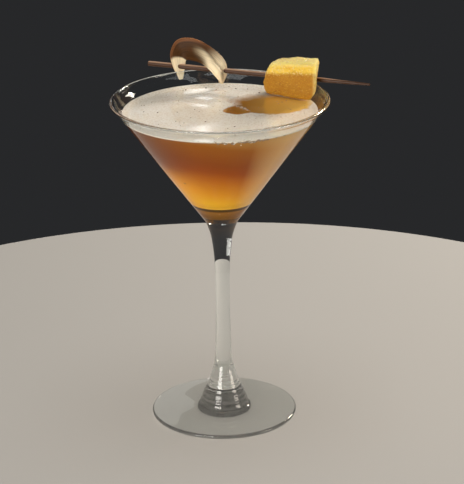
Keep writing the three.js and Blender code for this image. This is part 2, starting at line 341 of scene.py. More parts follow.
wall_at = add_node(
    cloudy_drink,
    "ShaderNodeMath",
    {"operation": "MULTIPLY_ADD"},
    {0: axes.outputs["Z"], 1: math.tan(BOWL_SLOPE), 2: inner_wall(0) * MM},
)
sideways = add_node(
    cloudy_drink, "ShaderNodeMath", {"operation": "DIVIDE"}, {0: axes.outputs["X"], 1: wall_at.outputs[0]}
)
away = []
for axis, middle in (("Z", DARK_RING_AT), ("X", CLOTS_AT)):
    past_middle = add_node(
        cloudy_drink, "ShaderNodeMath", {"operation": "SUBTRACT"}, {0: axes.outputs[axis], 1: middle * MM}
    )
    away.append(
        add_node(cloudy_drink, "ShaderNodeMath", {"operation": "ABSOLUTE"}, {0: past_middle.outputs[0]})
    )
off_ring, off_clots = away
clots = add_node(
    cloudy_drink,
    "ShaderNodeTexNoise",
    inputs={"Vector": place.outputs["Object"], "Scale": 1000 / CLOT, "Detail": 2.0, "Roughness": 0.5},
)
clot_zone = add_node(
    cloudy_drink,
    "ShaderNodeMapRange",
    inputs={"Value": off_clots.outputs[0], "From Max": CLOTS_SPREAD * MM, "To Min": 14.0, "To Max": 7.0},
)
clot_depth = add_node(
    cloudy_drink,
    "ShaderNodeMath",
    {"operation": "MULTIPLY"},
    {0: clots.outputs["Fac"], 1: clot_zone.outputs["Result"]},
)
foam_reach = add_node(
    cloudy_drink,
    "ShaderNodeMath",
    {"operation": "MULTIPLY_ADD"},
    {0: clot_depth.outputs[0], 1: MM, 2: axes.outputs["Z"]},
)
# Each zone: what it is measured by, where it begins, where it is full, and its strength there.
zones = {}
# All zones but the foam are painted light and shade.
for zone, value, start, end, most in (
    # Painted light: the right side is tinted paler.
    ("right", sideways.outputs[0], 0.35, 0.72, 0.6),
    ("left", sideways.outputs[0], -0.3, -0.9, 1.0),
    # Painted shade high up on the left.
    ("painted_shade_high", axes.outputs["Z"], 138 * MM, 152 * MM, 0.9),
    # Painted glow low down on the left.
    ("painted_glow_low", axes.outputs["Z"], 148 * MM, 136 * MM, 0.8),
    # Painted shade in the dish.
    ("dish", axes.outputs["Z"], DARK_RING_AT * MM, (DARK_RING_AT - 0.8) * MM, 0.9),
    # A painted dark ring that stands for a line the thick glass refracts.
    ("ring", off_ring.outputs[0], 1.2 * MM, 0.8 * MM, 0.95),
    ("foam", foam_reach.outputs[0], (FOAM_TOP + 7.0) * MM, (FOAM_TOP + 7.3) * MM, 1.0),
):
    zone_share = add_node(
        cloudy_drink,
        "ShaderNodeMapRange",
        inputs={"Value": value, "From Min": start, "From Max": end, "To Max": most},
    )
    zones[zone] = zone_share.outputs["Result"]
for zone in ("painted_shade_high", "painted_glow_low"):
    on_left = add_node(
        cloudy_drink, "ShaderNodeMath", {"operation": "MULTIPLY"}, {0: zones["left"], 1: zones[zone]}
    )
    zones[zone] = on_left.outputs[0]
drink_colour = shades.outputs["Color"]
for zone, colour in (
    # Painted light on the right, painted shade and glow high and low on the left, painted shade in the dish, a
    # painted dark ring, and the foam's own colour.
    ("right", "#FFC878"),
    ("painted_shade_high", "#6E3604"),
    ("painted_glow_low", "#F6A420"),
    ("dish", "#85501A"),
    ("ring", "#38200A"),
    ("foam", "#F3E8D4"),
):
    tinted = add_node(
        cloudy_drink,
        "ShaderNodeMix",
        {"data_type": "RGBA"},
        {"Factor": zones[zone], "A": drink_colour, "B": linear(colour)},
    )
    drink_colour = tinted.outputs["Result"]
body = add_node(
    cloudy_drink,
    "ShaderNodeBsdfPrincipled",
    inputs={
        "Base Color": drink_colour,
        "Roughness": 0.4,
        "IOR": 1.34,
        "Specular IOR Level": 0.0,
        "Subsurface Weight": 0.35,
        "Subsurface Radius": (1.0, 0.8, 0.6),
        "Subsurface Scale": 5 * MM,
    },
)
add_node(cloudy_drink, "ShaderNodeOutputMaterial", inputs={"Surface": body.outputs[0]})
amber_drink.data.materials.append(cloudy_drink)
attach(amber_drink, "root")
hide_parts("drink")


# The foam. Shaking beats air into the lime juice, which rises as a thin, wet, pale layer of fine bubbles.
# It climbs the wall a little. In front of the ginger a smooth patch lies open, painted with the ginger's
# shadow and reflection.
FRONT_GAPS_AT = (CLOTS_AT * MM, -49.8 * MM, FOAM_TOP * MM)
FOAM_BUBBLE = 0.9
FOAM_CLOUD = 18.0
PATCH_WOBBLE = 7.0
WALL_GAPS_FROM = 49.4
WALL_GAPS_TO = 50.2
# The two round parts of the patch: the place of the middle, half the length and half the width.
SHADOW_POOLS = ((28.0, 12.0, 18.0, 15.0), (9.2, 4.8, 7.2, 7.2))

foam_rim = meniscus(FOAM_TOP, MENISCUS_HEIGHT)
foam_bottom = drink_top - 0.1
foam_under = meniscus(foam_bottom, drink_climb)
foam_outline = straight((0.5, foam_bottom), (foam_under[-1][0] - 1, foam_bottom), 4)
foam_outline += foam_under[::-1]
foam_outline += foam_rim
foam_outline += straight((foam_rim[-1][0] - 1, FOAM_TOP), (0.5, FOAM_TOP), 40)
foam_layer = turn_on_lathe("foam_layer", foam_outline, ROUND_STEPS)

# Beaten lime juice and sugar: pale beige, wet and shiny, grained by fine bubbles and clouded in larger patches.
# The bubbles are drawn at 0.9 mm, coarser than they are, so that they show. The open patch is as smooth as a
# mirror and painted: brown as the ginger's shadow, and gold to the right as the ginger's reflection.
pale_foam = new_material("wet_pale_foam")
place = add_node(pale_foam, "ShaderNodeTexCoord")
edge_wobble = add_node(
    pale_foam,
    "ShaderNodeTexNoise",
    inputs={"Vector": place.outputs["Object"], "Scale": 1000 / PATCH_WOBBLE, "Detail": 3.0, "Roughness": 0.5},
)
from_middles = []
for middle_x, middle_y, half_length, half_width in SHADOW_POOLS:
    centred = add_node(
        pale_foam,
        "ShaderNodeMapping",
        {"vector_type": "POINT"},
        {
            "Vector": place.outputs["Object"],
            "Location": (-middle_x / half_length, -middle_y / half_width, 0),
            "Scale": (1000 / half_length, 1000 / half_width, 0),
        },
    )
    from_middles.append(
        add_node(pale_foam, "ShaderNodeVectorMath", {"operation": "LENGTH"}, {0: centred.outputs["Vector"]})
    )
nearest_pool = add_node(
    pale_foam,
    "ShaderNodeMath",
    {"operation": "SMOOTH_MIN"},
    {0: from_middles[0].outputs["Value"], 1: from_middles[1].outputs["Value"], 2: 0.25},
)
ragged = add_node(
    pale_foam,
    "ShaderNodeMath",
    {"operation": "MULTIPLY_ADD"},
    {0: edge_wobble.outputs["Fac"], 1: 0.5, 2: nearest_pool.outputs[0]},
)
axes = add_node(pale_foam, "ShaderNodeSeparateXYZ", inputs={"Vector": place.outputs["Object"]})
back_haze = add_node(
    pale_foam,
    "ShaderNodeMapRange",
    inputs={
        "Value": axes.outputs["Y"],
        "From Min": 9 * MM,
        "From Max": 24 * MM,
        "To Min": 1.3,
        "To Max": 1.9,
    },
)
shadow_pool_share = add_node(
    pale_foam,
    "ShaderNodeMapRange",
    inputs={
        "Value": ragged.outputs[0],
        "From Min": 1.2,
        "From Max": back_haze.outputs["Result"],
        "To Min": 1.0,
        "To Max": 0.0,
    },
)
clouds = add_node(
    pale_foam,
    "ShaderNodeTexNoise",
    inputs={"Vector": place.outputs["Object"], "Scale": 1000 / FOAM_CLOUD, "Detail": 6.0, "Roughness": 0.6},
)
foam_colour = add_node(
    pale_foam,
    "ShaderNodeMix",
    {"data_type": "RGBA"},
    {"Factor": clouds.outputs["Fac"], "A": linear("#EFE0C9"), "B": linear("#FFFBF3")},
)
bubbles = add_node(
    pale_foam,
    "ShaderNodeTexVoronoi",
    inputs={"Vector": place.outputs["Object"], "Scale": 1000 / FOAM_BUBBLE},
)
bubble_walls = add_node(
    pale_foam,
    "ShaderNodeMapRange",
    inputs={"Value": bubbles.outputs["Distance"], "From Min": 0.35, "From Max": 0.8, "To Max": 0.4},
)
grained_foam = add_node(
    pale_foam,
    "ShaderNodeMix",
    {"data_type": "RGBA"},
    {"Factor": bubble_walls.outputs["Result"], "A": foam_colour.outputs["Result"], "B": linear("#C9AE86")},
)
clots = add_node(
    pale_foam,
    "ShaderNodeTexNoise",
    inputs={"Vector": place.outputs["Object"], "Scale": 1000 / CLOT, "Detail": 2.0, "Roughness": 0.5},
)
gaps = add_node(
    pale_foam,
    "ShaderNodeMapRange",
    inputs={"Value": clots.outputs["Fac"], "From Min": 0.47, "From Max": 0.4},
)
on_disc = add_node(
    pale_foam, "ShaderNodeVectorMath", {"operation": "MULTIPLY"}, {0: place.outputs["Object"], 1: (1, 1, 0)}
)
from_axis = add_node(pale_foam, "ShaderNodeVectorMath", {"operation": "LENGTH"}, {0: on_disc.outputs["Vector"]})
at_wall = add_node(
    pale_foam,
    "ShaderNodeMapRange",
    inputs={
        "Value": from_axis.outputs["Value"],
        "From Min": WALL_GAPS_FROM * MM,
        "From Max": WALL_GAPS_TO * MM,
    },
)
front_place = add_node(
    pale_foam, "ShaderNodeVectorMath", {"operation": "DISTANCE"}, {0: place.outputs["Object"], 1: FRONT_GAPS_AT}
)
at_front = add_node(
    pale_foam,
    "ShaderNodeMapRange",
    inputs={"Value": front_place.outputs["Value"], "From Min": 16 * MM, "From Max": 10 * MM},
)
front_gaps = gaps.outputs["Result"]
for nearness in (at_wall, at_front):
    near_gaps = add_node(
        pale_foam,
        "ShaderNodeMath",
        {"operation": "MULTIPLY"},
        {0: front_gaps, 1: nearness.outputs["Result"]},
    )
    front_gaps = near_gaps.outputs[0]
gapped_foam = add_node(
    pale_foam,
    "ShaderNodeMix",
    {"data_type": "RGBA"},
    {"Factor": front_gaps, "A": grained_foam.outputs["Result"], "B": linear("#7A4A14")},
)
# Painted shadow of the ginger, brown, turning towards the right into its painted reflection, gold.
toward_reflection = add_node(
    pale_foam,
    "ShaderNodeMapRange",
    inputs={"Value": axes.outputs["X"], "From Min": 8 * MM, "From Max": 42 * MM},
)
shadow_reflection_colour = add_node(
    pale_foam,
    "ShaderNodeMix",
    {"data_type": "RGBA"},
    {"Factor": toward_reflection.outputs["Result"], "A": linear("#B4741E"), "B": linear("#F4C466")},
)
foam_or_painted_pool = add_node(
    pale_foam,
    "ShaderNodeMix",
    {"data_type": "RGBA"},
    {
        "Factor": shadow_pool_share.outputs["Result"],
        "A": gapped_foam.outputs["Result"],
        "B": shadow_reflection_colour.outputs["Result"],
    },
)
shine = add_node(
    pale_foam,
    "ShaderNodeMapRange",
    inputs={"Value": shadow_pool_share.outputs["Result"], "To Min": 0.3, "To Max": 0.04},
)
grain = add_node(
    pale_foam,
    "ShaderNodeMapRange",
    inputs={"Value": shadow_pool_share.outputs["Result"], "To Min": 0.35, "To Max": 0.0},
)
relief = add_node(
    pale_foam,
    "ShaderNodeBump",
    inputs={"Strength": grain.outputs["Result"], "Distance": 0.2 * MM, "Height": bubbles.outputs["Distance"]},
)
body = add_node(
    pale_foam,
    "ShaderNodeBsdfPrincipled",
    inputs={
        "Base Color": foam_or_painted_pool.outputs["Result"],
        "Roughness": shine.outputs["Result"],
        "Normal": relief.outputs["Normal"],
        "IOR": 1.36,
        "Coat Weight": 0.5,
        "Coat Roughness": 0.09,
        "Subsurface Weight": 0.25,
        "Subsurface Radius": (1.0, 0.8, 0.6),
        "Subsurface Scale": 2 * MM,
    },
)
add_node(pale_foam, "ShaderNodeOutputMaterial", inputs={"Surface": body.outputs[0]})
foam_layer.data.materials.append(pale_foam)
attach(foam_layer, "root")
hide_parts("foam")


# Bubbles. Larger bubbles stand on the foam: along its front edge at the wall, at the tip of the open patch,
# along the ginger, and a few all over. Each is a dome of thin liquid film, half sunk in the foam.
BUBBLE_RADIUS = 0.7
FILM_PATCH = 2.0
WALL_BUBBLES = 34
FRONT_ANGLE = -77
FRONT_SPREAD = 8
GINGER_BUBBLES = 22
GINGER_ROW_START = (28.0, 33.0)
GINGER_ROW_RUN = (19.0, -13.0)
LOOSE_BUBBLES = 70
# The row at the tip of the patch: the place and the size of each.
PATCH_BUBBLES = ((9.4, 11.4, 1.5), (11.4, 9.0, 2.3), (13.0, 6.8, 1.9), (14.4, 4.8, 1.4), (15.6, 3.0, 1.0))


def copy_to_places(piece, places):
    """Copies a modelled piece to every place, each copy with its own mesh, and joins them into one piece."""
    copies = [piece]
    for number in range(1, len(places)):
        copies.append(bpy.data.objects.new(f"{piece.name}_{number}", piece.data.copy()))
        bpy.context.collection.objects.link(copies[-1])
    for copy, lies in zip(copies, places):
        copy.data.transform(lies)
        copy.select_set(True)
    bpy.context.view_layer.objects.active = piece
    bpy.ops.object.join()


bubble_shake = random.Random(11)
bubble_places = []
for _ in range(WALL_BUBBLES):
    angle = math.radians(bubble_shake.gauss(FRONT_ANGLE, FRONT_SPREAD))
    height_mm = FOAM_TOP + 0.5 - abs(bubble_shake.gauss(0, 0.7))
    reach = inner_wall(height_mm) + 0.15
    bubble_places.append((reach * math.cos(angle), reach * math.sin(angle), height_mm, 1.0))
for x, y, share in PATCH_BUBBLES:
    bubble_places.append((x, y, FOAM_TOP, share))
for _ in range(GINGER_BUBBLES):
    along_row = bubble_shake.uniform(0, 1)
    x, y = (start + run * along_row for start, run in zip(GINGER_ROW_START, GINGER_ROW_RUN))
    bubble_places.append((x, y, FOAM_TOP, 0.9))
for _ in range(LOOSE_BUBBLES):
    angle = bubble_shake.uniform(0, 2 * math.pi)
    reach = foam_rim[-1][0] * math.sqrt(bubble_shake.random())
    bubble_places.append((reach * math.cos(angle), reach * math.sin(angle), FOAM_TOP, 0.4))
bpy.ops.object.select_all(action="DESELECT")
bpy.ops.mesh.primitive_ico_sphere_add(subdivisions=2, radius=BUBBLE_RADIUS * MM)
foam_bubbles = bpy.context.object
foam_bubbles.name = foam_bubbles.data.name = "foam_bubbles"
bpy.ops.object.shade_smooth()
bubbles_lie = []
for x, y, z, share in bubble_places:
    size = share * bubble_shake.uniform(0.6, 1.3)
    shape = Matrix.Diagonal((size, size, 0.8 * size, 1))
    bubbles_lie.append(Matrix.Translation(Vector((x, y, z)) * MM) @ shape)
copy_to_places(foam_bubbles, bubbles_lie)

# A film of sweetened juice: shiny and see-through, tinted where it gathers.
bubble_film = new_material("wet_bubble_film")
place = add_node(bubble_film, "ShaderNodeTexCoord")
gather = add_node(
    bubble_film,
    "ShaderNodeTexNoise",
    inputs={"Vector": place.outputs["Object"], "Scale": 1000 / FILM_PATCH, "Detail": 2.0},
)
film_colour = add_node(
    bubble_film,
    "ShaderNodeMix",
    {"data_type": "RGBA"},
    {"Factor": gather.outputs["Fac"], "A": linear("#A87B46"), "B": linear("#F3E6D0")},
)
body = add_node(
    bubble_film,
    "ShaderNodeBsdfPrincipled",
    inputs={
        "Base Color": film_colour.outputs["Result"],
        "Roughness": 0.08,
        "IOR": 1.34,
        "Transmission Weight": 0.55,
    },
)
add_node(bubble_film, "ShaderNodeOutputMaterial", inputs={"Surface": body.outputs[0]})
foam_bubbles.data.materials.append(bubble_film)
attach(foam_bubbles, "root")


# Flecks of spice. A few dark brown grains of about 1 mm float in the foam, and one hangs in the drink at the
# wall. They were ground, so each is an uneven lump.
FLECK_RADIUS = 0.6
FLECK_LUMP = 0.3
FLECK_LUMP_WIDTH = 0.5
SPICE_GRAIN = 0.4
SUNK_FLECK_HEIGHT = 138.7
SUNK_FLECK_ANGLE = math.radians(229.5)
FOAM_FLECKS = (
    (-18.3, 43.1),
    (-7.4, 46.4),
    (5.0, 48.2),
    (8.7, 44.3),
    (21.2, 36.0),
    (7.4, -23.6),
    (-32.6, 2.6),
    (-7.6, -14.4),
)

fleck_shake = random.Random(3)
reach = inner_wall(SUNK_FLECK_HEIGHT) + 0.1
fleck_places = [
    (reach * math.cos(SUNK_FLECK_ANGLE), reach * math.sin(SUNK_FLECK_ANGLE), SUNK_FLECK_HEIGHT, 1.25)
]
for x, y in FOAM_FLECKS:
    fleck_places.append((x, y, FOAM_TOP, 0.8))
bpy.ops.object.select_all(action="DESELECT")
bpy.ops.mesh.primitive_ico_sphere_add(subdivisions=2, radius=FLECK_RADIUS * MM)
spice_flecks = bpy.context.object
spice_flecks.name = spice_flecks.data.name = "spice_flecks"
for vertex in spice_flecks.data.vertices:
    vertex.co *= 1 + FLECK_LUMP * noise.noise(vertex.co / (FLECK_LUMP_WIDTH * MM))
bpy.ops.object.shade_smooth()
flecks_lie = []
for x, y, z, size in fleck_places:
    turn = Euler([fleck_shake.uniform(0, math.pi) for _ in range(3)]).to_matrix().to_4x4()
    shape = Matrix.Diagonal((size, size * fleck_shake.uniform(0.6, 1.0), 0.6 * size, 1))
    flecks_lie.append(Matrix.Translation(Vector((x, y, z)) * MM) @ shape @ turn)
copy_to_places(spice_flecks, flecks_lie)

# Ground spice soaked with juice: dark red-brown, lighter where it is broken.
spice = new_material("wet_ground_spice")
place = add_node(spice, "ShaderNodeTexCoord")
broken = add_node(
    spice,
    "ShaderNodeTexNoise",
    inputs={"Vector": place.outputs["Object"], "Scale": 1000 / SPICE_GRAIN, "Detail": 2.0},
)
spice_colour = add_node(
    spice,
    "ShaderNodeMix",
    {"data_type": "RGBA"},
    {"Factor": broken.outputs["Fac"], "A": linear("#3A1608"), "B": linear("#7A3C18")},
)
body = add_node(
    spice,
    "ShaderNodeBsdfPrincipled",
    inputs={"Base Color": spice_colour.outputs["Result"], "Roughness": 0.35},
)
add_node(spice, "ShaderNodeOutputMaterial", inputs={"Surface": body.outputs[0]})
spice_flecks.data.materials.append(spice)
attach(spice_flecks, "root")


# The pick. A round stick of brown hardwood, turned smooth, cut off square at one end and drawn out to a fine
# tip at the other. It lies across the back of the rim.
PICK_LENGTH = 127.0
PICK_RADIUS = 1.4
PICK_TIP = 0.6
PICK_TAPER = 32.0
PICK_FROM_AXIS = 44.8
PICK_HEADING = math.radians(-21.7)
PICK_BLUNT_END = -59.4
PICK_ROUNDING = 0.3
PICK_STEPS = 28
PICK_GAP = 0.2
PICK_HEIGHT = RIM_TOP + PICK_GAP + PICK_RADIUS
WOOD_FIBRE = 0.5
WOOD_FIBRE_STRETCH = 14

# The garnish is laid out along the pick: x along it, y away from the axis of the glass, z up.
along_pick = Matrix.Rotation(PICK_HEADING, 4, "Z") @ Matrix.Translation((0, PICK_FROM_AXIS * MM, 0))

pick_outline = straight((0.2, 0.0), (PICK_RADIUS - PICK_ROUNDING, 0.0), 2)
pick_outline += arc(PICK_RADIUS - PICK_ROUNDING, PICK_ROUNDING, PICK_ROUNDING, -70, 0, 4)
pick_outline += straight((PICK_RADIUS, 1.0), (PICK_RADIUS, PICK_LENGTH - PICK_TAPER), 30)
pick_outline += straight(
    (PICK_RADIUS * 0.985, PICK_LENGTH - PICK_TAPER + 1), (PICK_TIP, PICK_LENGTH - PICK_TIP), 14
)
pick_outline += arc(0, PICK_LENGTH - PICK_TIP, PICK_TIP, 15, 80, 5)
wooden_pick = turn_on_lathe("wooden_pick", pick_outline, PICK_STEPS)
wooden_pick.data.transform(
    along_pick
    @ Matrix.Translation((PICK_BLUNT_END * MM, 0, PICK_HEIGHT * MM))
    @ Matrix.Rotation(math.radians(90), 4, "Y")
)

# Brown hardwood, sanded and waxed: long dark fibres about 0.5 mm wide run along the stick, and its upper side
# is painted pale as a highlight.
brown_wood = new_material("waxed_brown_hardwood")
place = add_node(brown_wood, "ShaderNodeTexCoord")
fibres_lie = add_node(
    brown_wood,
    "ShaderNodeMapping",
    {"vector_type": "TEXTURE"},
    {
        "Vector": place.outputs["Object"],
        "Rotation": (0, 0, PICK_HEADING),
        "Scale": (WOOD_FIBRE_STRETCH, 1, 1),
    },
)
fibres = add_node(
    brown_wood,
    "ShaderNodeTexNoise",
    inputs={
        "Vector": fibres_lie.outputs["Vector"],
        "Scale": 1000 / WOOD_FIBRE,
        "Detail": 4.0,
        "Roughness": 0.6,
    },
)
wood_colour = add_node(
    brown_wood,
    "ShaderNodeMix",
    {"data_type": "RGBA"},
    {"Factor": fibres.outputs["Fac"], "A": linear("#1E0F06"), "B": linear("#5A3820")},
)
axes = add_node(brown_wood, "ShaderNodeSeparateXYZ", inputs={"Vector": place.outputs["Object"]})
# A painted highlight along the top of the pick.
painted_sheen_top = add_node(
    brown_wood,
    "ShaderNodeMapRange",
    inputs={
        "Value": axes.outputs["Z"],
        "From Min": (PICK_HEIGHT + 0.55 * PICK_RADIUS) * MM,
        "From Max": (PICK_HEIGHT + 0.85 * PICK_RADIUS) * MM,
        "To Max": 0.85,
    },
)
sheen_colour = add_node(
    brown_wood,
    "ShaderNodeMix",
    {"data_type": "RGBA"},
    {"Factor": painted_sheen_top.outputs["Result"], "A": wood_colour.outputs["Result"], "B": linear("#B8947A")},
)
relief = add_node(
    brown_wood,
    "ShaderNodeBump",
    inputs={"Strength": 0.4, "Distance": 0.1 * MM, "Height": fibres.outputs["Fac"]},
)
body = add_node(
    brown_wood,
    "ShaderNodeBsdfPrincipled",
    inputs={
        "Base Color": sheen_colour.outputs["Result"],
        "Roughness": 0.42,
        "Specular IOR Level": 0.25,
        "Normal": relief.outputs["Normal"],
    },
)
add_node(brown_wood, "ShaderNodeOutputMaterial", inputs={"Surface": body.outputs[0]})
wooden_pick.data.materials.append(brown_wood)
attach(wooden_pick, "root")
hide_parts("pick")


# The ginger. A cube of ginger root, boiled in syrup until it is clear and yellow, and rolled in sugar.
# It is threaded on the pick and hangs just above the foam, trimmed to clear the wall of the bowl.
GINGER_LENGTH = 33.0
GINGER_DEPTH = 14.5
GINGER_HEIGHT = 19.4
GINGER_ALONG = 26.3
GINGER_BACK = -1.6
GINGER_TURN = math.radians(-8)
GINGER_DRAW_IN = 3.6
GINGER_SLANT = 0.45
GINGER_RISE = 1.5
GINGER_BEVEL = 3.2
GINGER_BELLY = 0.35
FOAM_GAP = 0.3
LEAST_FOAM_GAP = 0.05
WALL_GAP = 0.4
RIM_GAP = 0.3
OVERHANG = 1.4
GINGER_FIBRE = 2.5
GINGER_FIBRE_STRETCH = 4
CRUST_GRAIN = 1.2
SWELL, SWELL_WIDTH = 1.2, 11
CRAG, CRAG_WIDTH = 0.32, 2.2
# Below a slanting line the colour is painted darker as shade and above it lighter as light; this points
# straight up from the line.
UP_FROM_LINE = (-0.098, 0.039, 1.0)


def shade_and_light_colour(material, pattern, lit_upper, dark, pale):
    """Mixes a dark and a pale tone by a pattern. Each is given as painted shade below the line and as painted
    light above it.
    """
    tones = [
        add_node(
            material,
            "ShaderNodeMix",
            {"data_type": "RGBA"},
            {"Factor": lit_upper.outputs["Result"], "A": linear(shaded), "B": linear(lit)},
        )
        for shaded, lit in (dark, pale)
    ]
    return add_node(
        material,
        "ShaderNodeMix",
        {"data_type": "RGBA"},
        {"Factor": pattern.outputs["Fac"], "A": tones[0].outputs["Result"], "B": tones[1].outputs["Result"]},
    )


bpy.ops.object.select_all(action="DESELECT")
bpy.ops.mesh.primitive_cube_add(size=1)
ginger_cube = bpy.context.object
ginger_cube.name = ginger_cube.data.name = "ginger_cube"
bpy.ops.object.mode_set(mode="EDIT")
bpy.ops.mesh.select_all(action="SELECT")
bpy.ops.transform.resize(
    value=(GINGER_LENGTH * MM, GINGER_DEPTH * MM, GINGER_HEIGHT * MM), center_override=(0, 0, 0)
)
bpy.ops.mesh.bevel(offset=GINGER_BEVEL * MM, segments=4, profile=0.6, affect="EDGES")
bpy.ops.mesh.subdivide(number_cuts=5)
bpy.ops.object.mode_set(mode="OBJECT")
refine = ginger_cube.modifiers.new("finer", "SUBSURF")
refine.subdivision_type = "SIMPLE"
refine.levels = refine.render_levels = 1
bpy.ops.object.modifier_apply(modifier="finer")
ginger_middle = FOAM_TOP + FOAM_GAP + GINGER_HEIGHT / 2
ginger_lies = (
    along_pick
    @ Matrix.Translation(Vector((GINGER_ALONG, GINGER_BACK, ginger_middle)) * MM)
    @ Matrix.Rotation(GINGER_TURN, 4, "Z")
)
for vertex in ginger_cube.data.vertices:
    x, y, z = (c / MM for c in vertex.co)
    swell = noise.noise(Vector((x, y, z)) / SWELL_WIDTH) * SWELL
    crags = noise.fractal(Vector((x, y, z)) / CRAG_WIDTH, 0.9, 2.0, 3) * CRAG
    bulge = Vector((x / GINGER_LENGTH, y / GINGER_DEPTH, z / GINGER_HEIGHT)).normalized() * (swell + crags)
    x_share, z_share = 2 * x / GINGER_LENGTH, 2 * z / GINGER_HEIGHT
    left = GINGER_DRAW_IN * abs(z_share + GINGER_BELLY) ** 1.2
    right = z_share - GINGER_SLANT * (y + GINGER_DEPTH / 2)
    lean = abs(x_share) * (left if x < 0 else right)
    rise = GINGER_RISE * max(z_share, 0.0) * x_share
    vertex.co = ginger_lies @ ((Vector((x + lean, y, z + rise)) + bulge) * MM)
    radius = math.hypot(vertex.co.x, vertex.co.y) / MM
    over_rim = max(0.0, vertex.co.z / MM - RIM_TOP - RIM_GAP)
    room = inner_wall(min(vertex.co.z / MM, RIM_TOP + RIM_GAP)) - WALL_GAP + OVERHANG * over_rim
    if radius > room:
        vertex.co.x *= room / radius
        vertex.co.y *= room / radius
    vertex.co.z = max(vertex.co.z, (FOAM_TOP + LEAST_FOAM_GAP) * MM)
bpy.ops.object.shade_smooth()

# Ginger boiled in syrup: light goes deep into it, so it glows yellow. Below a slanting line it is painted
# darker as shade and above it lighter as light. Pale fibres about 2.5 mm wide run through it, and its top and
# right edge are painted paler as highlights.
candied_ginger = new_material("candied_ginger_in_syrup")
place = add_node(candied_ginger, "ShaderNodeTexCoord")
fibres_lie = add_node(
    candied_ginger,
    "ShaderNodeMapping",
    {"vector_type": "TEXTURE"},
    {
        "Vector": place.outputs["Object"],
        "Rotation": (0, 0.2, PICK_HEADING),
        "Scale": (GINGER_FIBRE_STRETCH, 1, 1),
    },
)
fibres = add_node(
    candied_ginger,
    "ShaderNodeTexNoise",
    inputs={
        "Vector": fibres_lie.outputs["Vector"],
        "Scale": 1000 / GINGER_FIBRE,
        "Detail": 5.0,
        "Roughness": 0.6,
    },
)
crust = add_node(
    candied_ginger,
    "ShaderNodeTexNoise",
    inputs={"Vector": place.outputs["Object"], "Scale": 1000 / CRUST_GRAIN, "Detail": 4.0, "Roughness": 0.7},
)
up_slope = add_node(
    candied_ginger,
    "ShaderNodeVectorMath",
    {"operation": "DOT_PRODUCT"},
    {0: place.outputs["Object"], 1: UP_FROM_LINE},
)
wavering = add_node(
    candied_ginger,
    "ShaderNodeMath",
    {"operation": "MULTIPLY_ADD"},
    {0: fibres.outputs["Fac"], 1: 2 * MM, 2: up_slope.outputs["Value"]},
)
# Painted light above the slanting line, painted shade below it.
lit_upper = add_node(
    candied_ginger,
    "ShaderNodeMapRange",
    inputs={
        "Value": wavering.outputs[0],
        "From Min": (PICK_HEIGHT + 1.6) * MM,
        "From Max": (PICK_HEIGHT + 3.8) * MM,
    },
)
ginger_colour = shade_and_light_colour(
    candied_ginger, fibres, lit_upper, dark=("#A4690C", "#EAB82C"), pale=("#C89024", "#FCE26C")
)
pits = add_node(
    candied_ginger,
    "ShaderNodeMapRange",
    inputs={"Value": crust.outputs["Fac"], "From Min": 0.5, "From Max": 0.3, "To Max": 0.4},
)
pitted = add_node(
    candied_ginger,
    "ShaderNodeMix",
    {"data_type": "RGBA"},
    {"Factor": pits.outputs["Result"], "A": ginger_colour.outputs["Result"], "B": linear("#A8680C")},
)
# Painted highlights: the top and the right end are painted paler.
ginger_top = ginger_middle + GINGER_HEIGHT / 2
ginger_end = GINGER_ALONG + GINGER_LENGTH / 2
to_end = Vector((math.cos(PICK_HEADING), math.sin(PICK_HEADING), 0.0))
highlight_sides = []
for outward, pale_from, pale_to in (
    (Vector((0.0, 0.0, 1.0)) - to_end * GINGER_RISE * 2 / GINGER_LENGTH, ginger_top - 5.0, ginger_top - 2.6),
    (to_end, ginger_end - 4.2, ginger_end - 1.8),
):
    reach = add_node(
        candied_ginger,
        "ShaderNodeVectorMath",
        {"operation": "DOT_PRODUCT"},
        {0: place.outputs["Object"], 1: outward},
    )
    side = add_node(
        candied_ginger,
        "ShaderNodeMapRange",
        inputs={
            "Value": reach.outputs["Value"],
            "From Min": pale_from * MM,
            "From Max": pale_to * MM,
            "To Max": 0.7,
        },
    )
    highlight_sides.append(side.outputs["Result"])
highlight_share = add_node(
    candied_ginger, "ShaderNodeMath", {"operation": "MAXIMUM"}, {0: highlight_sides[0], 1: highlight_sides[1]}
)
highlighted = add_node(
    candied_ginger,
    "ShaderNodeMix",
    {"data_type": "RGBA"},
    {"Factor": highlight_share.outputs[0], "A": pitted.outputs["Result"], "B": linear("#FFEE98")},
)
relief = add_node(
    candied_ginger,
    "ShaderNodeBump",
    inputs={"Strength": 1.0, "Distance": 0.8 * MM, "Height": crust.outputs["Fac"]},
)
body = add_node(
    candied_ginger,
    "ShaderNodeBsdfPrincipled",
    inputs={
        "Base Color": highlighted.outputs["Result"],
        "Roughness": 0.5,
        "Normal": relief.outputs["Normal"],
        "IOR": 1.45,
        "Specular IOR Level": 0.35,
        "Subsurface Weight": 0.4,
        "Subsurface Radius": (1.0, 0.7, 0.3),
        "Subsurface Scale": 3 * MM,
    },
)
add_node(candied_ginger, "ShaderNodeOutputMaterial", inputs={"Surface": body.outputs[0]})
ginger_cube.data.materials.append(candied_ginger)
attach(ginger_cube, "root")
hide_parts("candied_ginger")


# The sugar. The ginger was rolled in sugar while it was wet, and the grains stuck to it: clear, broken cubes of
# about 0.4 mm that sparkle.
SUGAR_GRAIN = 0.4
SUGAR_COUNT = 1600
SUGAR_FROM = FOAM_TOP + 0.6
SUGAR_MOTTLE = 1.5

